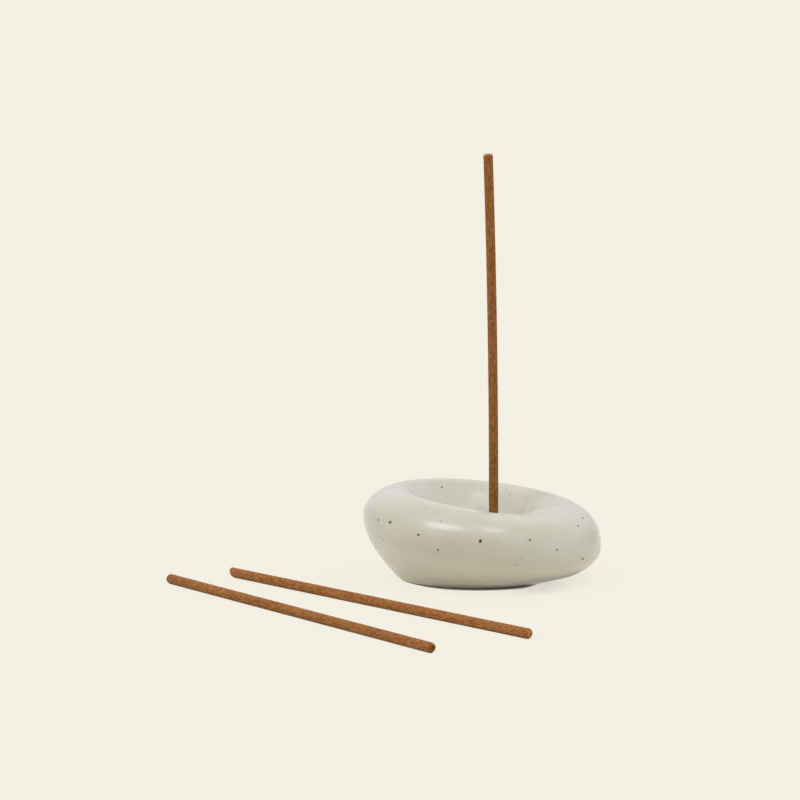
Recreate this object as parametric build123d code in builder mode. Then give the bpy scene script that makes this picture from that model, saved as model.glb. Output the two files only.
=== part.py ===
"""Pebble incense holder in stoneware, with a stick standing in its socket and two spare sticks beside it."""
import os
from collections import namedtuple
from math import cos, degrees, pi, sin

from build123d import *

# Foot: the flat that stands on the table, with its centre at the origin
foot_width = 53.6
foot_depth = 47.4
foot_edge_inset = 1.2
foot_edge_share = 0.06

# Belly: the widest ring of the pebble, high on the left and low on the right
belly_left_reach = 40.0
belly_right_reach = 47.0
belly_left_height = 23.7
belly_right_height = 12.1
belly_depth = 85.0
belly_forward = 0.5
belly_back_rise = 2.5

# Wall bend: the height that the wall between foot and belly bends towards
wall_bend_left_height = 13.5
wall_bend_right_height = 3.5

# Lip: the top of the rolled rim, which slopes down to the right and to the front
lip_left_reach = 25.5
lip_right_reach = 36.0
lip_left_height = 33.6
lip_right_height = 26.3
lip_depth = 56.5
lip_back = 0.5
lip_back_rise = 1.0

# Dish: the hollow inside the lip, with a small level floor round the socket
dish_x = 7.7
dish_y = 1.0
dish_floor_height = 17.0
dish_floor_radius = 6.0

# Dish wall: how far the lip rolls in, and the floor spreads out, as shares of the way between their edges
lip_roll_left = 0.20
lip_roll_right = 1.15
lip_roll_depth = 0.30
floor_spread_left = 0.50
floor_spread_right = 0.30
floor_spread_depth = 0.40

# Dish plan: the right end of the wall is blunt and slants, with its back further right than its front
dish_bluntness = 0.9
dish_slant = 0.5

# Incense sticks: plain round rods of dried paste, with no core
stick_length = 152.5
stick_diameter = 3.5
standing_end_rounding = 0.5
spare_end_rounding = 1.2
stick_bow_radius = 3800.0
stick_straight_tip = 3.0

# Socket: the blind hole in the dish floor that holds one stick upright
socket_floor = 2.3
socket_clearance = 0.25
socket_mouth_rounding = 0.8

# Spare sticks: where the middle of each lies on the table, and its heading from +X
front_stick_middle = (-62.95, -71.6)
front_stick_heading = -51.7
rear_stick_middle = (-35.8, -54.1)
rear_stick_heading = -46.2

# How many rings shape each stretch of the surface, and how many points shape each ring
foot_edge_rings = 2
wall_rings = 4
shoulder_rings = 3
dish_rings = 6
ring_points = 20

socket_depth = dish_floor_height - socket_floor
socket_radius = stick_diameter / 2 + socket_clearance

# A ring is an oval through its left and right ends; bluntness and slant are shares of its half width
Ring = namedtuple(
    "Ring",
    "left_x left_z right_x right_z half_depth centre_y back_rise bluntness slant",
    defaults=(0, 0, 0, 0),
)

foot = Ring(-foot_width / 2, 0, foot_width / 2, 0, foot_depth / 2)
foot_flat = Ring(
    foot_edge_inset - foot_width / 2,
    0,
    foot_width / 2 - foot_edge_inset,
    0,
    foot_depth / 2 - foot_edge_inset,
)
belly = Ring(
    -belly_left_reach,
    belly_left_height,
    belly_right_reach,
    belly_right_height,
    belly_depth / 2,
    -belly_forward,
    belly_back_rise,
)
lip = Ring(
    -lip_left_reach,
    lip_left_height,
    lip_right_reach,
    lip_right_height,
    lip_depth / 2,
    lip_back,
    lip_back_rise,
)
dish_floor = Ring(
    dish_x - dish_floor_radius,
    dish_floor_height,
    dish_x + dish_floor_radius,
    dish_floor_height,
    dish_floor_radius,
    dish_y,
)


def on_the_way(ring, other, left, right, depth):
    """Ring at the first ring's height, drawn towards the other by these shares, with the dish's plan."""
    return ring._replace(
        left_x=ring.left_x + left * (other.left_x - ring.left_x),
        right_x=ring.right_x + right * (other.right_x - ring.right_x),
        half_depth=ring.half_depth + depth * (other.half_depth - ring.half_depth),
        bluntness=dish_bluntness,
        slant=dish_slant,
    )


wall_bend = belly._replace(left_z=wall_bend_left_height, right_z=wall_bend_right_height, back_rise=0)
shoulder_corner = belly._replace(left_z=lip.left_z, right_z=lip.right_z, back_rise=lip.back_rise)
lip_roll = on_the_way(lip, dish_floor, lip_roll_left, lip_roll_right, lip_roll_depth)
floor_spread = on_the_way(dish_floor, lip, floor_spread_left, floor_spread_right, floor_spread_depth)


def mix(weights, rings):
    """Ring whose every value is the weighted sum of that value over the given rings."""
    return Ring(*(sum(w * v for w, v in zip(weights, values)) for values in zip(*rings)))


def foot_edge_ring(t):
    """Ring on the rounded foot edge, a parabola from the foot's flat round its corner onto the wall."""
    return mix(((1 - t) ** 2, 2 * t * (1 - t), t**2), (foot_flat, foot, wall_ring(foot_edge_share)))


def wall_ring(t):
    """Ring on the wall, a parabola from the foot to the belly that bends towards the wall bend."""
    return mix(((1 - t) ** 2, 2 * t * (1 - t), t**2), (foot, wall_bend, belly))


def shoulder_ring(t):
    """Ring on the shoulder, a quarter ellipse from the belly up to the lip."""
    s = sin(t * pi / 2)
    c = cos(t * pi / 2)
    return mix((1 - s, s + c - 1, 1 - c), (belly, shoulder_corner, lip))


def dish_ring(t):
    """Ring on the dish wall, an S curve that leaves the lip level and meets the floor level."""
    weights = ((1 - t) ** 3, 3 * t * (1 - t) ** 2, 3 * t**2 * (1 - t), t**3)
    return mix(weights, (lip, lip_roll, floor_spread, dish_floor))


def evenly(first, last, count):
    """Values that divide the stretch after first into equal steps, ending at last."""
    return [first + (last - first) * (i + 1) / count for i in range(count)]


rings = [foot_flat]
rings += [foot_edge_ring(t) for t in evenly(0, 1, foot_edge_rings)]
rings += [wall_ring(t) for t in evenly(foot_edge_share, 1, wall_rings)]
rings += [shoulder_ring(t) for t in evenly(0, 1, shoulder_rings)]
rings += [dish_ring(t) for t in evenly(0, 1, dish_rings)]

# Holder: one surface lofted up the wall, over the lip and down into the dish
with BuildPart() as holder:
    for ring in rings:
        centre = Vector((ring.left_x + ring.right_x) / 2, ring.centre_y, (ring.left_z + ring.right_z) / 2)
        to_right = Vector(ring.right_x - ring.left_x, 0, ring.right_z - ring.left_z) / 2
        to_back = Vector(0, ring.half_depth, ring.back_rise)
        plane = Plane(origin=centre, x_dir=to_right, z_dir=to_right.cross(to_back))
        outline = []
        for turn in evenly(0, 2 * pi, ring_points):
            c = cos(turn)
            s = sin(turn)
            sideways = c + (1 + c) / 2 * s * (ring.bluntness * s * c + ring.slant)
            point = plane.to_local_coords(centre + to_right * sideways + to_back * s)
            outline.append((point.X, point.Y))
        with BuildSketch(plane):
            with BuildLine():
                Spline(outline, periodic=True)
            make_face()
    loft()
    with Locations((dish_x, dish_y, dish_floor_height)):
        Hole(radius=socket_radius, depth=socket_depth)
    socket_edges = holder.edges().filter_by(GeomType.CIRCLE).filter_by(lambda e: e.radius < dish_floor_radius)
    fillet(socket_edges.sort_by(Axis.Z)[-1], radius=socket_mouth_rounding)
holder.part.label = "holder"

# Standing stick: straight in its socket, then bowed a little to the left
with BuildPart() as standing_stick:
    with BuildLine(Plane.XZ.offset(-dish_y)):
        seat = Line((dish_x, socket_floor), (dish_x, dish_floor_height))
        bow_length = stick_length - socket_depth - stick_straight_tip
        bow = JernArc(seat @ 1, seat % 1, stick_bow_radius, degrees(bow_length / stick_bow_radius))
        Line(bow @ 1, bow @ 1 + bow % 1 * stick_straight_tip)
    with BuildSketch(Plane.XY.move(Location((dish_x, dish_y, socket_floor)))):
        Circle(stick_diameter / 2)
    sweep()
    stick_ends = standing_stick.faces().filter_by(GeomType.PLANE)
    fillet(stick_ends.edges(), radius=standing_end_rounding)
standing_stick.part.label = "standing_stick"

os.makedirs("parts", exist_ok=True)
export_step(holder.part, "parts/holder.step")
export_step(standing_stick.part, "parts/standing_stick.step")

# Spare sticks: straight rods that lie on the table in front of the holder
spare_sticks = {
    "spare_stick_front": (front_stick_middle, front_stick_heading),
    "spare_stick_rear": (rear_stick_middle, rear_stick_heading),
}
for name, (middle, heading) in spare_sticks.items():
    along = Vector(1, 0, 0).rotate(Axis.Z, heading)
    section = Plane(origin=(*middle, stick_diameter / 2), x_dir=(0, 0, 1), z_dir=along)
    with BuildPart() as spare_stick:
        with BuildSketch(section):
            Circle(stick_diameter / 2)
        extrude(amount=stick_length / 2, both=True)
        fillet(spare_stick.faces().filter_by(GeomType.PLANE).edges(), radius=spare_end_rounding)
    spare_stick.part.label = name
    export_step(spare_stick.part, f"parts/{name}.step")
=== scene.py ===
"""Pebble incense holder and its sticks: surfaces, materials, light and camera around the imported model."""
from math import comb, cos, pi, radians

import bpy
import numpy as np
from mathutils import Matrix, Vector


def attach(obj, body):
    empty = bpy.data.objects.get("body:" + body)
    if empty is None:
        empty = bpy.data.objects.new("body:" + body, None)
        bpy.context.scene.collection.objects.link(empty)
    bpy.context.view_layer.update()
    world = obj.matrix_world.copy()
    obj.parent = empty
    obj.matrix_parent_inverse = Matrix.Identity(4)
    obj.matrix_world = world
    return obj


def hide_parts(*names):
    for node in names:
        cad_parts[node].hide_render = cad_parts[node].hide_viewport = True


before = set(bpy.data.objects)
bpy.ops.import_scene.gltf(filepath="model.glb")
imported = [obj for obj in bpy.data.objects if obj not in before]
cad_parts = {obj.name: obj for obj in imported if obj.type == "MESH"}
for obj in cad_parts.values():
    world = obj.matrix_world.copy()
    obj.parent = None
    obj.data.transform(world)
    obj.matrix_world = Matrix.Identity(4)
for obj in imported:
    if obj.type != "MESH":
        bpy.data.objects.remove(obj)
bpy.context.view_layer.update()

# Holder sizes in metres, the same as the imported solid's
foot_width = 0.0536
foot_depth = 0.0474
foot_edge_inset = 0.0012
foot_edge_share = 0.06
belly_left_reach = 0.040
belly_right_reach = 0.047
belly_left_height = 0.0237
belly_right_height = 0.0121
belly_depth = 0.085
belly_forward = 0.0005
belly_back_rise = 0.0025
wall_bend_left_height = 0.0135
wall_bend_right_height = 0.0035
lip_left_reach = 0.0255
lip_right_reach = 0.036
lip_left_height = 0.0336
lip_right_height = 0.0263
lip_depth = 0.0565
lip_back = 0.0005
lip_back_rise = 0.0010
dish_x = 0.0077
dish_y = 0.001
dish_floor_height = 0.017
dish_floor_radius = 0.006
dish_slant = 0.5
dish_bluntness = 0.9
socket_floor = 0.0023
socket_clearance = 0.00025
socket_mouth_rounding = 0.0008

# Dish wall: how far the lip rolls in and the floor spreads out, as shares on the left, right and in depth
lip_roll = (0.20, 1.15, 0.30)
floor_spread = (0.50, 0.30, 0.40)

# Stick sizes in metres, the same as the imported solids'
stick_length = 0.1525
stick_radius = 0.00175
standing_end_rounding = 0.0005
spare_end_rounding = 0.0012
stick_bow_radius = 3.8
front_stick_middle = (-0.06295, -0.0716)
front_stick_heading = radians(-51.7)
rear_stick_middle = (-0.0358, -0.0541)
rear_stick_heading = radians(-46.2)

# Grid of the holder: points round a ring, and rings of each stretch from the underside to the socket's floor
turns_of_holder = 288
underside_rings = 10
foot_edge_rings = 8
wall_rings = 64
shoulder_rings = 60
dish_rings = 96
dish_floor_rings = 7
socket_mouth_rings = 6
socket_bore_rings = 8
socket_bottom_shares = (0.6, 0.2)

# Grid of a stick: points round a ring, rings along the rod, over a rounded edge and on a cut face, and the
# radius of the innermost ring as a share of the face's
turns_of_stick = 40
steps_along_stick = 700
stick_edge_rings = 17
stick_face_rings = 7
stick_face_start = 0.1

# Hand marks in the clay: how deep every place sinks, how much deeper the uneven ones do, the lengths and the
# seed of the waves, and the share of the dish over which the marks fade out towards its floor
clay_least_dent = 0.00005
clay_unevenness = 0.00035
clay_wave_lengths = (0.060, 0.045, 0.034, 0.026, 0.021)
clay_wave_seed = 4
dish_fade = 1 / 3

# Hand marks in the paste: the mean depth of the rod's dents, the full depth of the chips at the cut ends,
# and the lengths of the waves of both
paste_unevenness = 0.00003
paste_wave_lengths = (0.0011, 0.0017, 0.0026, 0.0039, 0.0062, 0.011)
chip_depth = 0.00010
chip_wave_lengths = (0.0008, 0.0013, 0.002)

# Cut ends of the spare sticks: how deep the near ends are hollowed, and how far a far end is cut slanting
front_stick_hollow = 0.0005
rear_stick_hollow = 0.00015
rear_stick_slant = 0.0016
slant_taper = 0.005

# Painted shade and light on a hollowed end: where its hollow ends, which is sunk and painted with shade,
# where painted shade along the lower left edge and painted light along the rest of the rim start and end,
# in stick radii from the middle, the turn of the shaded side, how far the chips shift the marks, and their
# strength
hollow_end = (0.30, 0.62)
edge_shade_start = (0.66, 0.80)
edge_shade_end = (0.84, 0.98)
shaded_turn = radians(-40)
lit_rim_start = (0.45, 0.60)
lit_rim_end = (0.72, 0.86)
mark_shift = 0.25
hollow_painted_shade = 0.75
rim_painted_light = 0.7

# Pale grains at a cut end: how far from the end they start to fade and are gone
pale_cut_fade = (0.0003, 0.0009)

# Places on the holder: run is 0 at the foot, 1 at the belly, 2 at the lip and 3 at the dish floor, and
# turn is in degrees from the low right end, by way of the back

# Places where the clay stands out a little: how far, and the soft patch as run, turn, half run and half turn
clay_rises = {
    "front_lip": (0.00045, 1.97, 240, 0.20, 22),
    "right_end": (0.00045, 1.30, 348, 0.28, 22),
    "low_right": (0.00078, 0.42, 326, 0.18, 16),
}

# Soft patches in the glaze's colour, some of them painted light, shade and cool sheen, named so: run, turn,
# half run, half turn, how much warmer and how much lighter
glaze_and_painted_light_patches = {
    "front_band": (1.18, 258, 0.12, 26, 0.45, 0.02),
    # Painted highlight: a light streak across the front
    "front_painted_gleam": (1.08, 273, 0.03, 7, -0.10, 0.045),
    "front_blush": (1.33, 221, 0.15, 14, 0.22, -0.02),
    "under_lip": (1.72, 238, 0.11, 22, 0.32, -0.02),
    # Painted highlight: the light line along the front lip's edge, cooler and lighter
    "lip_edge_painted_highlight": (1.95, 238, 0.05, 28, -0.25, 0.08),
    # Painted sheen: the left crest, cooler and lighter
    "left_crest_painted_sheen": (1.80, 191, 0.14, 16, -0.38, 0.03),
    # Painted sheen: the left end, cooler, and a little darker
    "left_end_painted_sheen": (1.00, 195, 0.25, 10, -0.70, -0.07),
    "left_flank": (0.75, 212, 0.25, 12, -0.25, 0.04),
    "low_front": (0.60, 252, 0.25, 26, -0.08, 0.055),
    "front_right": (1.54, 292, 0.14, 16, 0.15, -0.04),
    "right_shoulder": (1.62, 326, 0.16, 20, 0.20, -0.03),
    "right_flank": (1.14, 302, 0.12, 18, -0.05, 0.04),
    "low_right": (0.74, 298, 0.14, 18, 0.40, 0.03),
    "front_middle": (1.60, 273, 0.12, 9, 0.00, -0.035),
    "right_end": (1.25, 338, 0.20, 12, 0.10, -0.03),
    # Painted shade: the low right wall, darker next to the table
    "right_foot_edge_painted_shade": (0.25, 304, 0.14, 12, 0.00, -0.48),
    "right_under_edge_painted_shade": (0.38, 320, 0.14, 12, 0.00, -0.48),
    "right_under_end_painted_shade": (0.48, 329, 0.12, 10, 0.00, -0.45),
    "right_lip": (2.15, 18, 0.10, 28, 0.40, 0.02),
    # Painted shade: the dish's steep right wall
    "dish_right": (2.50, 66, 0.14, 13, 0.05, -0.08),
    "dish_right_end": (2.44, 47, 0.10, 10, 0.00, 0.05),
    "back_right_lip": (2.12, 68, 0.10, 16, -0.10, 0.08),
    "dish_back": (2.38, 108, 0.20, 26, 0.00, 0.045),
    # Painted shade: the dish beside the stick
    "dish_by_stick_painted_shade": (2.52, 94, 0.14, 7, 0.00, -0.20),
    "back_left_lip": (2.08, 160, 0.12, 20, 0.20, 0.00),
}

# Iron specks on the front, the top and the dish: run, turn and radius
iron_specks = (
    (1.257, 267.5, 0.00055),
    (1.230, 217.7, 0.00055),
    (1.170, 208.0, 0.00035),
    (1.160, 236.7, 0.00041),
    (0.967, 247.5, 0.00035),
    (1.340, 292.3, 0.00037),
    (1.173, 306.8, 0.00037),
    (0.970, 325.0, 0.00048),
    (1.643, 340.7, 0.00045),
    (1.530, 328.2, 0.00036),
    (2.260, 123.7, 0.00035),
    (2.260, 70.2, 0.00022),
    (2.103, 186.2, 0.00022),
    (1.730, 233.3, 0.00022),
    (1.507, 246.0, 0.00024),
    (0.807, 212.8, 0.00022),
    (1.330, 257.8, 0.00012),
    (1.040, 287.2, 0.00018),
    (0.870, 285.3, 0.00018),
)

# Iron specks scattered over the back: how many, the ranges of run, turn and radius, and the seed
scattered_specks = 18
scattered_runs = (0.25, 1.90)
scattered_turns = (12, 168)
scattered_radii = (0.00018, 0.00055)
scatter_seed = 5

# Noise: its middle, the values between which it carries a whole change, and its levels of detail
noise_middle = 0.5
noise_span = (0.3, 0.7)
smooth_detail = 1.0
grainy_detail = 2.0
gritty_detail = 3.0

# Glaze colours
cool_grey = (0.640, 0.614, 0.530, 1)
warm_tan = (0.610, 0.570, 0.430, 1)
foot_olive = (0.640, 0.615, 0.440, 1)
speck_halo = (0.40, 0.30, 0.14, 1)
speck_core = (0.030, 0.018, 0.008, 1)

# Glaze streaks along the rings: bumps to the metre of the broad and the fine ones, their height against
# their length, how far from its middle the noise carries the whole drift of tone, and how light the fine
# ones are
streak_scale = 38
fine_streak_scale = 150
streak_height = 0.28
streak_spread = 0.55
fine_streak_shade = (0.978, 1.022)

# Glaze at the foot: the heights where it starts to turn olive and where it has turned, and by how much
olive_heights = (0.012, 0.002)
olive_share = 0.7

# Glaze surface: bumps to the metre of its small waves, their share beside the streaks, relief and roughness
small_wave_scale = 330
small_wave_share = 0.4
glaze_relief = 0.0004
glaze_relief_strength = 0.15
glaze_roughness = (0.20, 0.26)

# Specks: bumps to the metre of their ragged outline and how far it wanders, where the halo and the core
# start and are full in speck radii, the share of the halo, and a distance in radii that is past every speck
ragged_scale = 2500
ragged_span = (0.75, 1.3)
halo_span = (2.6, 0.9)
halo_share = 0.35
core_span = (1.15, 0.75)
past_all_specks = 100.0

# Bare clay
dark_clay = (0.36, 0.28, 0.20, 1)
light_clay = (0.46, 0.37, 0.27, 1)
grit_scale = 1400
grit_spread = 0.15
clay_relief = 0.0002
clay_relief_strength = 0.6
clay_roughness = 0.9
bare_clay_height = foot_edge_inset / 4

# Paste colours
brown = (0.220, 0.076, 0.021, 1)
ochre = (0.425, 0.172, 0.044, 1)
red_brown = (0.300, 0.097, 0.025, 1)
olive_brown = (0.325, 0.146, 0.034, 1)
pale_fleck = (0.55, 0.29, 0.11, 1)
dark_fleck = (0.11, 0.044, 0.014, 1)
pale_grain = (0.70, 0.45, 0.22, 1)
# Painted light on the rim of a cut end and painted shade in its hollow
lit_rim_tan = (0.42, 0.25, 0.08, 1)
hollow_shade_brown = (0.085, 0.045, 0.010, 1)

# Paste grains, streaks and flecks: bumps to the metre, length against width, spread of the drift, shares,
# and the noise values between which a fleck or a pale grain comes up
grain_scale = 1500
grain_length = 1.8
grain_spread = 0.12
paste_streak_scale = 800
paste_streak_length = 5.0
paste_streak_spread = 0.10
paste_streak_share = 0.4
fleck_scale = 2200
fleck_length = 1.6
pale_fleck_span = (0.62, 0.72)
pale_fleck_share = 0.7
dark_fleck_span = (0.38, 0.28)
dark_fleck_share = 0.6
pale_grain_span = (0.46, 0.56)

# Paste surface
paste_relief = 0.00012
paste_relief_strength = 0.6
paste_roughness = 0.85
paste_shine = 0.2

# Camera at the photograph's viewing angle
camera_place = (-0.0265, -1.181, 0.2282)
camera_pitch = radians(7.85)
camera_lens = 147.6
camera_sensor = 36.0

# Floor: its colour, how flat the camera sees it, and its corners in multiples of its reach
floor_colour = (0.896, 0.863, 0.768)
floor_flatness = 0.95
floor_reach = 60.0
floor_corners = ((-2, -1, 0), (2, -1, 0), (0, 2, 0))

# Painted contact shadow on the floor, a dark line: how far it reaches under the holder and under the spare
# sticks, how far from the holder's middle the first ends and the second starts, and where along X it starts,
# is full, is still full and ends under the holder
holder_contact_reach = 0.0013
stick_contact_reach = 0.0003
holder_contact_end = 0.045
stick_contact_start = 0.058
contact_span = (-0.023, -0.009, 0.017, 0.024)

# Soft shadow on the floor: where along X it starts, is full, is still full and ends, its reach and depth,
# the share of it that is left past its end, how much less light the floor gives back there, and the samples
# of both shadows
soft_shadow_span = (0.006, 0.026, 0.026, 0.037)
soft_shadow_reach = 0.0062
soft_shadow_depth = 0.22
soft_shadow_left = 0.3
soft_shadow_dulling = 0.4
shadow_samples = 8

# Soft lights in the studio dome: direction, half angles in degrees where full and where gone, and brightness
sky_glow = (0.24, 0.25, 0.24)
soft_lights = {
    "overhead": ((0.0, 0.10, 1.0), 30, 70, (0.32, 0.29, 0.27)),
    "overhead_right": ((0.65, 0.10, 0.75), 25, 60, (0.66, 0.71, 0.77)),
    "side_left": ((-0.95, -0.20, 0.25), 15, 50, (0.69, 0.71, 0.72)),
    "back_left": ((-0.75, 0.65, 0.20), 15, 50, (0.20, 0.22, 0.28)),
    "back": ((0.0, 0.97, 0.25), 15, 50, (0.43, 0.43, 0.54)),
    "large_window": ((-0.31, -0.17, 0.935), 7, 13, (7.0, 7.1, 8.1)),
    "small_window": ((0.22, -0.13, 0.97), 3, 7.5, (6.6, 6.5, 6.6)),
}


def bezier(t, *controls):
    """Bezier curve of rings: the sum of binomial(n, i) t^i (1 - t)^(n - i) times control ring i."""
    n = len(controls) - 1
    i = np.arange(n + 1)
    binomials = np.array([comb(n, k) for k in i])
    weights = binomials * t[:, None] ** i * (1 - t[:, None]) ** (n - i)
    return weights @ np.array(controls)


def steps(first, last, count):
    """Values that divide the stretch after first into equal steps, ending at last."""
    return np.linspace(first, last, count + 1)[1:]


def with_heights_of(ring, other):
    """Ring with the widths, centre and plan of the first ring and the heights and rise of the other."""
    return np.where([1, 0, 1, 0, 1, 1, 0, 1, 1], ring, other)


def by_side(shares):
    """Left, right and depth shares spread over the values of a ring."""
    left, right, depth = shares
    return np.array([left, 0, right, 0, depth, 0, 0, 0, 0])


def level_ring(centre_x, centre_y, height, radius):
    """Level round ring.

    The values of a ring are left x, left z, right x, right z, half depth, centre y, back rise, slant and
    bluntness.
    """
    left_x, right_x = centre_x - radius, centre_x + radius
    return np.array([left_x, height, right_x, height, radius, centre_y, 0.0, 0.0, 0.0])


def holder_stations():
    """Rings of the holder from the middle of its foot, up the wall, over the lip and down into the socket.

    The second result is how far each ring may follow the unevenness of the clay, from 0 to 1, and the third
    is the run of each ring.
    """
    foot = np.array([-foot_width / 2, 0, foot_width / 2, 0, foot_depth / 2, 0, 0, 0, 0])
    inset = foot_edge_inset * np.array([1, 0, -1, 0, -1, 0, 0, 0, 0])
    belly = np.array([-belly_left_reach, belly_left_height, belly_right_reach, belly_right_height,
                      belly_depth / 2, -belly_forward, belly_back_rise, 0, 0])
    wall_bend = np.array([-belly_left_reach, wall_bend_left_height,
                          belly_right_reach, wall_bend_right_height,
                          belly_depth / 2, -belly_forward, 0, 0, 0])
    lip = np.array([-lip_left_reach, lip_left_height, lip_right_reach, lip_right_height,
                    lip_depth / 2, lip_back, lip_back_rise, 0, 0])
    floor = level_ring(dish_x, dish_y, dish_floor_height, dish_floor_radius)
    dish_plan = np.array([0, 0, 0, 0, 0, 0, 0, dish_slant, dish_bluntness])
    rolled_lip = with_heights_of(lip + by_side(lip_roll) * (floor - lip) + dish_plan, lip)
    spread_floor = with_heights_of(floor + by_side(floor_spread) * (lip - floor) + dish_plan, floor)
    edge_top = bezier(np.array([foot_edge_share]), foot, wall_bend, belly)[0]

    underside = steps(0, 1, underside_rings)[:, None] * (foot + inset)
    round_edge = steps(0, 1, foot_edge_rings)
    foot_edge = bezier(round_edge, foot + inset, foot, edge_top)
    up_wall = steps(foot_edge_share, 1, wall_rings)
    wall = bezier(up_wall, foot, wall_bend, belly)
    up_shoulder = steps(0, 1, shoulder_rings)
    quarter = up_shoulder[:, None] * pi / 2
    inwards = lip + (belly - lip) * np.cos(quarter)
    upwards = belly + (lip - belly) * np.sin(quarter)
    shoulder = with_heights_of(inwards, upwards)
    down_dish = steps(0, 1, dish_rings)
    dish = bezier(down_dish, lip, rolled_lip, spread_floor, floor)
    socket_radius = stick_radius + socket_clearance
    mouth_radius = socket_radius + socket_mouth_rounding
    mouth_floor = dish_floor_height - socket_mouth_rounding
    floor_to_mouth = [level_ring(dish_x, dish_y, dish_floor_height, radius)
                      for radius in steps(dish_floor_radius, mouth_radius, dish_floor_rings)]
    mouth = [level_ring(dish_x, dish_y, mouth_floor + socket_mouth_rounding * np.cos(angle),
                        mouth_radius - socket_mouth_rounding * np.sin(angle))
             for angle in steps(0, pi / 2, socket_mouth_rings)]
    bore = [level_ring(dish_x, dish_y, height, socket_radius)
            for height in steps(mouth_floor, socket_floor, socket_bore_rings)]
    bottom = [level_ring(dish_x, dish_y, socket_floor, socket_radius * share)
              for share in socket_bottom_shares]

    socket = floor_to_mouth + mouth + bore + bottom
    stations = np.concatenate([underside, foot_edge, wall, shoulder, dish, socket])
    follow = np.concatenate([np.zeros(len(underside) + len(foot_edge)), np.linspace(0, 1, len(wall)) ** 0.5,
                             np.ones(len(shoulder)), np.clip(np.linspace(1 / dish_fade, 0, len(dish)), 0, 1),
                             np.zeros(len(socket))])
    run = np.concatenate([np.zeros(len(underside)), round_edge * foot_edge_share, up_wall,
                          1 + up_shoulder, 2 + down_dish, np.full(len(socket), 3.0)])
    return stations, follow, run


def ring_points(stations, turns):
    """Points of tilted rings: centre + half width times sideways + half depth times sin(turn).

    Sideways is cos(turn), with the right end of the ring drawn out by its slant and squared by its
    bluntness. The height goes with sideways from the left end to the right end, plus back rise times
    sin(turn).
    """
    values = stations.T[:, :, None]
    left_x, left_z, right_x, right_z, half_depth, centre_y, back_rise, slant, bluntness = values
    to_right_end = (1 + np.cos(turns)) / 2 * np.sin(turns)
    sideways = np.cos(turns) + to_right_end * (bluntness * np.sin(turns) * np.cos(turns) + slant)
    x = (left_x + right_x) / 2 + (right_x - left_x) / 2 * sideways
    y = centre_y + half_depth * np.sin(turns)
    z = (left_z + right_z) / 2 + (right_z - left_z) / 2 * sideways + back_rise * np.sin(turns)
    return np.stack([x, y, z], axis=-1)


def grid_normals(points):
    """Outward unit normals of a grid of closed rings: the cross product of its two directions."""
    around = np.roll(points, -1, axis=1) - np.roll(points, 1, axis=1)
    along = np.gradient(points, axis=0)
    normals = np.cross(around, along)
    return normals / np.maximum(np.linalg.norm(normals, axis=-1, keepdims=True), 1e-12)


def waves(places, lengths, seed):
    """Smooth noise from 0 to 1: the mean of sine waves of these lengths, each in a seeded direction."""
    draw = np.random.default_rng(seed)
    directions = draw.normal(size=(len(lengths), places.shape[-1]))
    directions /= np.linalg.norm(directions, axis=1, keepdims=True)
    phases = draw.uniform(0, 2 * pi, len(lengths))
    crests = np.sin(places @ (directions * (2 * pi / np.array(lengths)[:, None])).T + phases)
    return 0.5 + 0.5 * crests.mean(axis=-1)


def eased(values, low, high):
    """Smooth step from 0 at low to 1 at high: 3 t^2 - 2 t^3 of the share t of the way."""
    t = np.clip((values - low) / (high - low), 0, 1)
    return t * t * (3 - 2 * t)


def banded(values, start, end):
    """Smooth band: the smooth step of its start times 1 less the smooth step of its end."""
    return eased(values, *start) * (1 - eased(values, *end))


def soft_patch(run, turns, at_run, at_turn, half_run, half_turn):
    """Cover of a soft patch on the grid: exp(-(run gap / half run)^2 - (turn gap / half turn)^2)."""
    run_gap = (run[:, None] - at_run) / half_run
    turn_gap = ((np.degrees(turns) - at_turn + 180) % 360 - 180) / half_turn
    return np.exp(-run_gap ** 2 - turn_gap ** 2)


def glaze_tones_and_painted_light(run, turns):
    """How much warmer and lighter the glaze is, painted light, shade and sheen included: the sum over the
    patches of the amount times the cover.
    """
    patches = np.array(list(glaze_and_painted_light_patches.values()))
    at_run, at_turn, half_run, half_turn, warmer, lighter = patches.T[:, :, None, None]
    cover = soft_patch(run, turns, at_run, at_turn, half_run, half_turn)
    return (warmer * cover).sum(axis=0), (lighter * cover).sum(axis=0)


def points_at(points, run, at_run, at_turn):
    """Points of the holder's grid at these runs and turns, on straight lines between its own points."""
    row = np.interp(at_run, run, np.arange(len(run)))
    column = at_turn / 360 * turns_of_holder
    low_row, low_column = np.floor(row).astype(int), np.floor(column).astype(int)
    row_share, column_share = (row - low_row)[:, None], (column - low_column)[:, None]

    def across(rows):
        first = points[rows, low_column % turns_of_holder]
        second = points[rows, (low_column + 1) % turns_of_holder]
        return first + column_share * (second - first)

    return across(low_row) + row_share * (across(low_row + 1) - across(low_row))


def speck_places(points, run):
    """Centre and radius of every iron speck: the placed ones, then those that a seeded draw scatters."""
    draw = np.random.default_rng(scatter_seed)
    ranges = np.array([scattered_runs, scattered_turns, scattered_radii])
    scattered = draw.uniform(ranges[:, 0], ranges[:, 1], (scattered_specks, 3))
    at_run, at_turn, radius = np.concatenate([np.array(iron_specks), scattered]).T
    return np.column_stack([points_at(points, run, at_run, at_turn), radius])


def with_end_points(grid):
    """Values of a grid in one row, with the mean of the first ring and of the last ring after them."""
    ends = np.stack([grid[0].mean(axis=0), grid[-1].mean(axis=0)])
    return np.concatenate([grid.reshape(-1, *grid.shape[2:]), ends])


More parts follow.
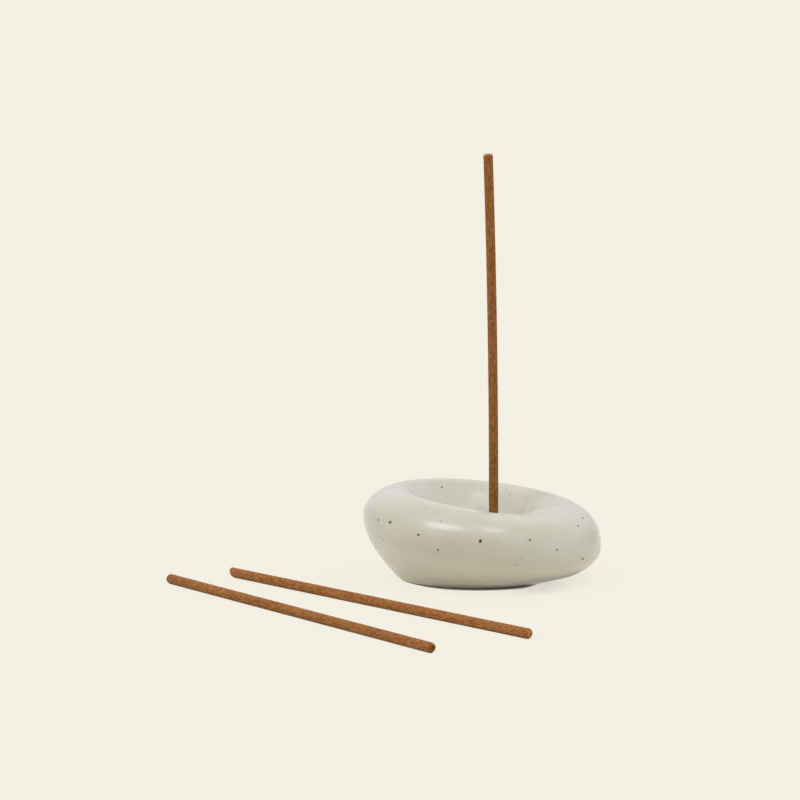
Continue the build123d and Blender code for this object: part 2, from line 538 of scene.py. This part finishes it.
def closed_surface(name, points, materials):
    """Mesh of a grid of rings, closed round every ring and with a point at each end of the row of rings."""
    rows, columns = points.shape[:2]
    index = np.arange(rows * columns).reshape(rows, columns)
    beside = np.roll(index, -1, axis=1)
    quads = np.stack([index[:-1], beside[:-1], beside[1:], index[1:]], axis=-1).reshape(-1, 4)
    first, last = rows * columns, rows * columns + 1
    start_fan = np.stack([np.full(columns, first), beside[0], index[0]], axis=-1)
    end_fan = np.stack([index[-1], beside[-1], np.full(columns, last)], axis=-1)
    mesh = bpy.data.meshes.new(name)
    faces = start_fan.tolist() + quads.tolist() + end_fan.tolist()
    mesh.from_pydata(with_end_points(points).tolist(), [], faces)
    mesh.polygons.foreach_set("use_smooth", np.ones(len(faces), bool))
    for material in materials:
        mesh.materials.append(material)
    piece = bpy.data.objects.new(name, mesh)
    bpy.context.scene.collection.objects.link(piece)
    return piece


def keep_on_points(piece, name, grid):
    """Keeps a value, or a vector, of the grid at every point of the piece, for its material to read."""
    kind, field = ("FLOAT_VECTOR", "vector") if grid.ndim == 3 else ("FLOAT", "value")
    attribute = piece.data.attributes.new(name, kind, "POINT")
    attribute.data.foreach_set(field, with_end_points(grid).astype(np.float32).ravel())


def set_or_link(tree, socket, value):
    """Sets an input to a plain value, or links it to a socket."""
    if isinstance(value, bpy.types.NodeSocket):
        tree.links.new(value, socket)
    else:
        socket.default_value = value


def add(tree, kind, inputs=None, **settings):
    """Shader node with its settings; an input is set to a plain value or linked to a socket."""
    made = tree.nodes.new("ShaderNode" + kind)
    for name, value in settings.items():
        setattr(made, name, value)
    for name, value in (inputs or {}).items():
        set_or_link(tree, made.inputs[name], value)
    return made


def mixed(tree, share, first, second):
    """Colour that goes from the first to the second with the share."""
    return add(tree, "Mix", {0: share, 6: first, 7: second}, data_type="RGBA").outputs[2]


def maths(tree, operation, *values):
    """Result of one sum on values or sockets."""
    return add(tree, "Math", dict(enumerate(values)), operation=operation).outputs[0]


def ramped(tree, value, low, high, to_low=0.0, to_high=1.0):
    """Value carried smoothly from the range low to high onto the range to_low to to_high."""
    inputs = {"Value": value, "From Min": low, "From Max": high, "To Min": to_low, "To Max": to_high}
    return add(tree, "MapRange", inputs, interpolation_type="SMOOTHSTEP").outputs[0]


def spanned(tree, value, span, left=0.0):
    """1 where the value lies in the middle of the span, smoothly 0 before it and the share left past it."""
    start, full, still_full, end = span
    coming = ramped(tree, value, start, full)
    going = ramped(tree, value, still_full, end, 1.0, left)
    return maths(tree, "MULTIPLY", coming, going)


def scaled(tree, colour, share):
    """Colour with its brightness multiplied by the share."""
    return add(tree, "VectorMath", {0: colour, "Scale": share}, operation="SCALE").outputs[0]


def noise(tree, place, scale, detail):
    """Smooth noise value with as many bumps to the metre as scale says."""
    return add(tree, "TexNoise", {"Vector": place, "Scale": scale, "Detail": detail}).outputs[0]


def bumped(tree, height, distance, strength):
    """Normal of a relief with this height pattern, depth in metres and strength."""
    return add(tree, "Bump", {"Height": height, "Distance": distance, "Strength": strength}).outputs[0]


def object_place(tree):
    """Place on the piece in its own coordinates."""
    return add(tree, "TexCoord").outputs["Object"]


def kept_value(tree, name):
    """Value that the piece keeps at its points."""
    return add(tree, "Attribute", attribute_name=name).outputs["Fac"]


def drawn_out(tree, place, length, tilt=0.0):
    """Place for a pattern that is tilted about Y and drawn out along its own Z by this length."""
    inputs = {"Vector": place, "Rotation": (0, tilt, 0), "Scale": (1, 1, length)}
    return add(tree, "Mapping", inputs, vector_type="TEXTURE").outputs[0]


def tone_drift_group():
    """Node group for all the materials: a colour that drifts between two tones with a noise, and the noise.

    Spread is how far from its middle the noise carries the whole drift, and Shift moves it towards the
    second tone.
    """
    group = bpy.data.node_groups.new("tone_drift", "ShaderNodeTree")
    sockets = {"Place": "Vector", "Scale": "Float", "Detail": "Float", "Spread": "Float", "Shift": "Float",
               "First": "Color", "Second": "Color"}
    for name, kind in sockets.items():
        group.interface.new_socket(name, in_out="INPUT", socket_type="NodeSocket" + kind)
    group.interface.new_socket("Colour", in_out="OUTPUT", socket_type="NodeSocketColor")
    group.interface.new_socket("Height", in_out="OUTPUT", socket_type="NodeSocketFloat")
    given = group.nodes.new("NodeGroupInput").outputs
    height = noise(group, given["Place"], given["Scale"], given["Detail"])
    drifted = maths(group, "ADD", maths(group, "SUBTRACT", height, noise_middle), given["Shift"])
    share = ramped(group, drifted, maths(group, "MULTIPLY", given["Spread"], -1.0), given["Spread"])
    results = group.nodes.new("NodeGroupOutput").inputs
    group.links.new(mixed(group, share, given["First"], given["Second"]), results["Colour"])
    group.links.new(height, results["Height"])
    return group


def drift(tree, place, scale, detail, first, second, spread, shift=0.0):
    """Tone drift placed in a material: its colour and its height."""
    inputs = {"Place": place, "Scale": scale, "Detail": detail, "Spread": spread, "Shift": shift,
              "First": first, "Second": second}
    made = add(tree, "Group", inputs, node_tree=bpy.data.node_groups["tone_drift"])
    return made.outputs["Colour"], made.outputs["Height"]


def new_material(name):
    """Empty node material with its Principled shader, and the tree to fill."""
    material = bpy.data.materials.new(name)
    material.use_nodes = True
    tree = material.node_tree
    return material, tree, tree.nodes["Principled BSDF"]


def feed(tree, shader, **sockets):
    """Links or sets the named inputs of a shader; underscores stand for spaces."""
    for name, value in sockets.items():
        set_or_link(tree, shader.inputs[name.replace("_", " ")], value)


def nearest_speck(tree, place, specks):
    """Distance to the nearest speck, counted in that speck's radius."""
    nearest = past_all_specks
    for x, y, z, radius in specks:
        gap = add(tree, "VectorMath", {0: place, 1: (x, y, z)}, operation="DISTANCE").outputs["Value"]
        nearest = maths(tree, "MINIMUM", nearest, maths(tree, "DIVIDE", gap, radius))
    return nearest


def glaze_material(specks):
    """Satin glaze: cool grey and tan streaks along the rings, olive at the foot, with iron specks, and the
    painted light, shade and sheen that the holder keeps at its points.
    """
    material, tree, shader = new_material("satin_glaze")
    place = object_place(tree)
    ring_tilt = np.arctan2(belly_left_height - belly_right_height, belly_left_reach + belly_right_reach)
    along_rings = drawn_out(tree, place, streak_height, ring_tilt)
    # The kept warmth and lightness hold painted sheen, highlights and shade as well as the glaze's own tones
    colour, streaks = drift(tree, along_rings, streak_scale, smooth_detail, cool_grey, warm_tan,
                            streak_spread, kept_value(tree, "glaze_warmth_and_painted_sheen"))
    above_floor = add(tree, "SeparateXYZ", {0: place}).outputs["Z"]
    at_foot = ramped(tree, above_floor, *olive_heights, 0.0, olive_share)
    colour = mixed(tree, at_foot, colour, foot_olive)
    fine_streaks = noise(tree, along_rings, fine_streak_scale, smooth_detail)
    fine_shade = ramped(tree, fine_streaks, *noise_span, *fine_streak_shade)
    colour = scaled(tree, colour, maths(tree, "ADD", kept_value(tree, "glaze_lightness_and_painted_light"), fine_shade))
    ragged = ramped(tree, noise(tree, place, ragged_scale, smooth_detail), *noise_span, *ragged_span)
    closeness = maths(tree, "MULTIPLY", nearest_speck(tree, place, specks), ragged)
    colour = mixed(tree, ramped(tree, closeness, *halo_span, 0.0, halo_share), colour, speck_halo)
    colour = mixed(tree, ramped(tree, closeness, *core_span), colour, speck_core)
    small_waves = noise(tree, place, small_wave_scale, grainy_detail)
    height = maths(tree, "MULTIPLY_ADD", small_waves, small_wave_share, streaks)
    relief = bumped(tree, height, glaze_relief, glaze_relief_strength)
    roughness = ramped(tree, fine_streaks, *noise_span, *glaze_roughness)
    feed(tree, shader, Base_Color=colour, Roughness=roughness, Normal=relief)
    return material


def bare_clay_material():
    """Unglazed stoneware of the foot: warm sandy clay with fine grit."""
    material, tree, shader = new_material("bare_stoneware")
    place = object_place(tree)
    colour, grit = drift(tree, place, grit_scale, gritty_detail, dark_clay, light_clay, grit_spread)
    relief = bumped(tree, grit, clay_relief, clay_relief_strength)
    feed(tree, shader, Base_Color=colour, Roughness=clay_roughness, Normal=relief)
    return material


def paste_material():
    """Dried incense paste: matte brown with ochre and dark grains drawn out along the stick.

    The cut ends have pale grains, painted light on a rim and painted shade in a hollow and along its edge,
    where the stick keeps such values, and each stick's lightness is painted in for the light it gets.
    """
    material, tree, shader = new_material("incense_paste")
    place = add(tree, "Attribute", attribute_name="stick_place").outputs["Vector"]
    grained, grain = drift(tree, drawn_out(tree, place, grain_length), grain_scale, grainy_detail,
                           brown, ochre, grain_spread)
    streaked = drift(tree, drawn_out(tree, place, paste_streak_length), paste_streak_scale, grainy_detail,
                     red_brown, olive_brown, paste_streak_spread)[0]
    colour = mixed(tree, paste_streak_share, grained, streaked)
    flecks = noise(tree, drawn_out(tree, place, fleck_length), fleck_scale, smooth_detail)
    colour = mixed(tree, ramped(tree, flecks, *pale_fleck_span, 0.0, pale_fleck_share), colour, pale_fleck)
    colour = mixed(tree, ramped(tree, flecks, *dark_fleck_span, 0.0, dark_fleck_share), colour, dark_fleck)
    # Painted lightness of each stick, for the light it gets where it lies or stands
    colour = scaled(tree, colour, kept_value(tree, "paste_painted_lightness"))
    on_grain = ramped(tree, grain, *pale_grain_span)
    at_pale_cut = maths(tree, "MULTIPLY", kept_value(tree, "pale_cut"), on_grain)
    colour = mixed(tree, at_pale_cut, colour, pale_grain)
    # Painted light on the rim of a cut end, then painted shade in its hollow and along its lower left edge
    colour = mixed(tree, kept_value(tree, "cut_painted_light"), colour, lit_rim_tan)
    colour = mixed(tree, kept_value(tree, "cut_painted_shade"), colour, hollow_shade_brown)
    relief = bumped(tree, grain, paste_relief, paste_relief_strength)
    feed(tree, shader, Base_Color=colour, Roughness=paste_roughness, Specular_IOR_Level=paste_shine,
         Normal=relief)
    return material


def glazed_holder():
    """Holder surface: the tilted rings, sunk along their normals by the unevenness of hand-formed clay.

    A few soft patches stand out a little along the normals.
    """
    stations, follow, run = holder_stations()
    turns = np.arange(turns_of_holder) * 2 * pi / turns_of_holder
    points = ring_points(stations, turns)
    depth = clay_least_dent + clay_unevenness * waves(points, clay_wave_lengths, clay_wave_seed)
    rise = sum(amount * soft_patch(run, turns, *place) for amount, *place in clay_rises.values())
    points = points + grid_normals(points) * (follow[:, None] * (rise - depth))[..., None]
    glaze = glaze_material(speck_places(points, run))
    piece = closed_surface("glazed_holder", points, [glaze, bare_clay_material()])
    # Glaze tones with painted light, shade and sheen, kept at every point
    warmth, shade = glaze_tones_and_painted_light(run, turns)
    keep_on_points(piece, "glaze_warmth_and_painted_sheen", warmth)
    keep_on_points(piece, "glaze_lightness_and_painted_light", shade)
    centres = np.empty(len(piece.data.polygons) * 3)
    piece.data.polygons.foreach_get("center", centres)
    bare = centres.reshape(-1, 3)[:, 2] < bare_clay_height
    piece.data.polygons.foreach_set("material_index", bare.astype(np.int32))
    return piece


def stick_profile(rounding):
    """Places along a stick and the radius there: cut face, rounded edge, rod, and the same in reverse."""
    face = np.linspace(stick_face_start, 1, stick_face_rings + 1)[:-1] * (stick_radius - rounding)
    edge = np.linspace(0, pi / 2, stick_edge_rings)
    along = np.concatenate([np.zeros(len(face)), rounding * (1 - np.cos(edge))])
    radius = np.concatenate([face, stick_radius - rounding * (1 - np.sin(edge))])
    rod = np.linspace(rounding, stick_length - rounding, steps_along_stick)[1:-1]
    all_along = np.concatenate([along, rod, stick_length - along[::-1]])
    all_radius = np.concatenate([radius, np.full(len(rod), stick_radius), radius[::-1]])
    return all_along, all_radius


def incense_stick(name, paste, axis_at, side, rounding, slant, hollow, pale_cut, tone, seed):
    """Stick surface: rings carried along an axis, with the radius and the cut ends made a little uneven.

    axis_at gives the points and the directions of the axis at the places along it. side is a direction
    square to the plane in which the axis bends. The first end is cut slanting by slant and the last end is
    hollowed by hollow, which also sets how strongly shade is painted in the hollow and along its lower left
    edge and light along the rest of its rim; pale_cut is how pale the grains at the edge of the last end
    are, and tone is a painted lightness of the paste that stands in for the light the stick gets.
    """
    along, radius = stick_profile(rounding)
    turns = np.arange(turns_of_stick) * 2 * pi / turns_of_stick
    across_x, across_y = radius[:, None] * np.cos(turns), radius[:, None] * np.sin(turns)
    place = np.stack(np.broadcast_arrays(across_x, across_y, along[:, None]), axis=-1)
    dents = waves(place, paste_wave_lengths, seed)
    worn_radius = radius[:, None] * (1 - paste_unevenness / stick_radius * 2 * dents)
    to_last = stick_length - along
    at_end = np.clip(1 - np.minimum(along, to_last) / rounding, 0, 1) * np.where(along < to_last, 1, -1)
    chips = at_end[:, None] * waves(place, chip_wave_lengths, seed + 1)
    underside = (1 + across_x / stick_radius) / 2
    cut_away = slant * np.clip(1 - along / slant_taper, 0, 1)[:, None] * underside
    out = np.where(to_last < rounding, radius / stick_radius, 1)[:, None] + mark_shift * (chips + 0.5)
    in_hollow = 1 - eased(out, *hollow_end)
    worn_along = along[:, None] + chip_depth * chips + cut_away - hollow * in_hollow
    centre, direction = axis_at(worn_along)
    upwards = np.cross(np.array(side), direction)
    spoke = np.cos(turns)[:, None] * upwards + np.sin(turns)[:, None] * np.array(side)
    piece = closed_surface(name, centre + worn_radius[..., None] * spoke, [paste])

    # Painted shade in the hollow and along the lower left edge of the hollowed end, painted light on the
    # rest of its rim
    lower_left = (1 + np.cos(turns - shaded_turn)) / 2
    in_edge_shade = lower_left * banded(out, edge_shade_start, edge_shade_end)
    on_lit_rim = (1 - lower_left) * banded(out, lit_rim_start, lit_rim_end)
    near_last = 1 - eased(to_last, *pale_cut_fade)
    marked = hollow / front_stick_hollow
    everywhere = np.ones_like(worn_along)
    keep_on_points(piece, "stick_place", place + (0, 0, seed))
    keep_on_points(piece, "paste_painted_lightness", tone * everywhere)
    keep_on_points(piece, "pale_cut", pale_cut * near_last[:, None] * everywhere)
    keep_on_points(piece, "cut_painted_shade", marked * hollow_painted_shade * (in_hollow + in_edge_shade))
    keep_on_points(piece, "cut_painted_light", marked * rim_painted_light * on_lit_rim)
    return piece


def standing_axis(along):
    """Axis of the standing stick: straight up in the socket, then an arc that leans slowly to the left."""
    socket_depth = dish_floor_height - socket_floor
    turn = np.maximum(along - socket_depth, 0) / stick_bow_radius
    x = dish_x - stick_bow_radius * (1 - np.cos(turn))
    z = socket_floor + np.minimum(along, socket_depth) + stick_bow_radius * np.sin(turn)
    centre = np.stack([x, np.full_like(x, dish_y), z], axis=-1)
    direction = np.stack([-np.sin(turn), np.zeros_like(turn), np.cos(turn)], axis=-1)
    return centre, direction


def lying_axis(middle, heading):
    """Axis of a stick lying straight on the table with this middle and heading."""
    direction = np.array([np.cos(heading), np.sin(heading), 0.0])

    def axis_at(along):
        centre = np.array([*middle, stick_radius]) + (along - stick_length / 2)[..., None] * direction
        return centre, np.broadcast_to(direction, centre.shape)

    return axis_at


def lying_side(heading):
    """Level direction square to a lying stick."""
    return (-np.sin(heading), np.cos(heading), 0.0)


def seen_directly(tree):
    """1 for what the camera sees, also in a reflection or through something clear; 0 for bounced light."""
    path = add(tree, "LightPath").outputs
    seen = maths(tree, "MAXIMUM", path["Is Camera Ray"], path["Is Glossy Ray"])
    return maths(tree, "MAXIMUM", seen, path["Is Transmission Ray"])


def open_share(tree, reach):
    """Share of the surroundings that is open within the reach: 1 in the open, and less close to a piece."""
    return add(tree, "AmbientOcclusion", {"Distance": reach}, samples=shadow_samples).outputs["AO"]


def pale_floor():
    """Wide level floor in the background colour; the camera sees it mostly flat, with a faint shadow.

    It is one triangle, so that no seam between faces crosses the picture.
    """
    mesh = bpy.data.meshes.new("floor")
    mesh.from_pydata((np.array(floor_corners) * floor_reach).tolist(), [], [(0, 1, 2)])
    material = bpy.data.materials.new("pale_floor")
    material.use_nodes = True
    tree = material.node_tree
    tree.nodes.clear()
    share = maths(tree, "MULTIPLY", seen_directly(tree), floor_flatness)
    place = object_place(tree)
    from_holder = add(tree, "VectorMath", {0: place}, operation="LENGTH").outputs["Value"]
    sideways = add(tree, "SeparateXYZ", {0: place}).outputs["X"]
    near = ramped(tree, from_holder, holder_contact_end, stick_contact_start, 1.0, 0.0)
    in_line = maths(tree, "MULTIPLY", near, spanned(tree, sideways, contact_span))
    further = holder_contact_reach - stick_contact_reach
    contact = open_share(tree, maths(tree, "MULTIPLY_ADD", in_line, further, stick_contact_reach))
    hidden = maths(tree, "SUBTRACT", 1.0, open_share(tree, soft_shadow_reach))
    along_shadow = spanned(tree, sideways, soft_shadow_span, soft_shadow_left)
    in_shadow = maths(tree, "MULTIPLY", hidden, along_shadow)
    faint = maths(tree, "MULTIPLY_ADD", in_shadow, -soft_shadow_depth, 1.0)
    under_right = maths(tree, "MULTIPLY", hidden, ramped(tree, sideways, *soft_shadow_span[:2]))
    dull = maths(tree, "MULTIPLY_ADD", under_right, -soft_shadow_dulling, 1.0)
    matt = add(tree, "BsdfDiffuse", {"Color": scaled(tree, floor_colour, dull)})
    # Painted contact shadow and painted soft shadow in the floor's flat colour
    shaded = scaled(tree, floor_colour, maths(tree, "MULTIPLY", contact, faint))
    flat = add(tree, "Emission", {"Color": shaded})
    blend = add(tree, "MixShader", {0: share, 1: matt.outputs[0], 2: flat.outputs[0]})
    add(tree, "OutputMaterial", {"Surface": blend.outputs[0]})
    mesh.materials.append(material)
    piece = bpy.data.objects.new("floor", mesh)
    bpy.context.scene.collection.objects.link(piece)
    return piece


def light_the_scene():
    """Studio dome: an even glow, and a smooth round patch of light for each soft light."""
    world = bpy.data.worlds.new("studio")
    bpy.context.scene.world = world
    world.use_nodes = True
    tree = world.node_tree
    tree.nodes.clear()
    looking = add(tree, "TexCoord").outputs["Generated"]
    glow = sky_glow
    for name, (direction, full, gone, brightness) in soft_lights.items():
        towards = Vector(direction).normalized()
        aimed = add(tree, "VectorMath", {0: looking, 1: towards}, operation="DOT_PRODUCT", label=name)
        patch = ramped(tree, aimed.outputs["Value"], cos(radians(gone)), cos(radians(full)))
        summed = add(tree, "VectorMath", {0: patch, 1: brightness, 2: glow}, operation="MULTIPLY_ADD")
        glow = summed.outputs[0]
    sky = add(tree, "Background", {"Color": glow, "Strength": 1.0})
    add(tree, "OutputWorld", {"Surface": sky.outputs[0]})


def place_camera():
    """Camera of the photograph: a long lens a little above the table, level and looking straight ahead."""
    lens = bpy.data.cameras.new("camera")
    lens.sensor_width = camera_sensor
    lens.lens = camera_lens
    camera = bpy.data.objects.new("camera", lens)
    camera.location = camera_place
    camera.rotation_euler = (pi / 2 - camera_pitch, 0, 0)
    bpy.context.scene.collection.objects.link(camera)
    bpy.context.scene.camera = camera


place_camera()
light_the_scene()
pale_floor()
tone_drift_group()

holder = glazed_holder()
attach(holder, "holder")
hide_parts("holder")

# tone is a painted lightness: the standing stick darker and the spare sticks lighter, for the light each
# gets
sticks = {
    "standing_stick": dict(axis_at=standing_axis, side=(0.0, 1.0, 0.0), rounding=standing_end_rounding,
                           slant=0.0, hollow=0.0, pale_cut=1.0, tone=0.93, seed=11),
    "spare_stick_front": dict(axis_at=lying_axis(front_stick_middle, front_stick_heading),
                              side=lying_side(front_stick_heading), rounding=spare_end_rounding,
                              slant=0.0, hollow=front_stick_hollow, pale_cut=0.0, tone=1.02, seed=21),
    "spare_stick_rear": dict(axis_at=lying_axis(rear_stick_middle, rear_stick_heading),
                             side=lying_side(rear_stick_heading), rounding=spare_end_rounding,
                             slant=rear_stick_slant, hollow=rear_stick_hollow, pale_cut=0.3, tone=1.07,
                             seed=31),
}
paste = paste_material()
for node, making in sticks.items():
    stick = incense_stick(node + "_paste", paste, **making)
    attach(stick, node)
    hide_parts(node)

bpy.context.scene.view_settings.view_transform = "Standard"
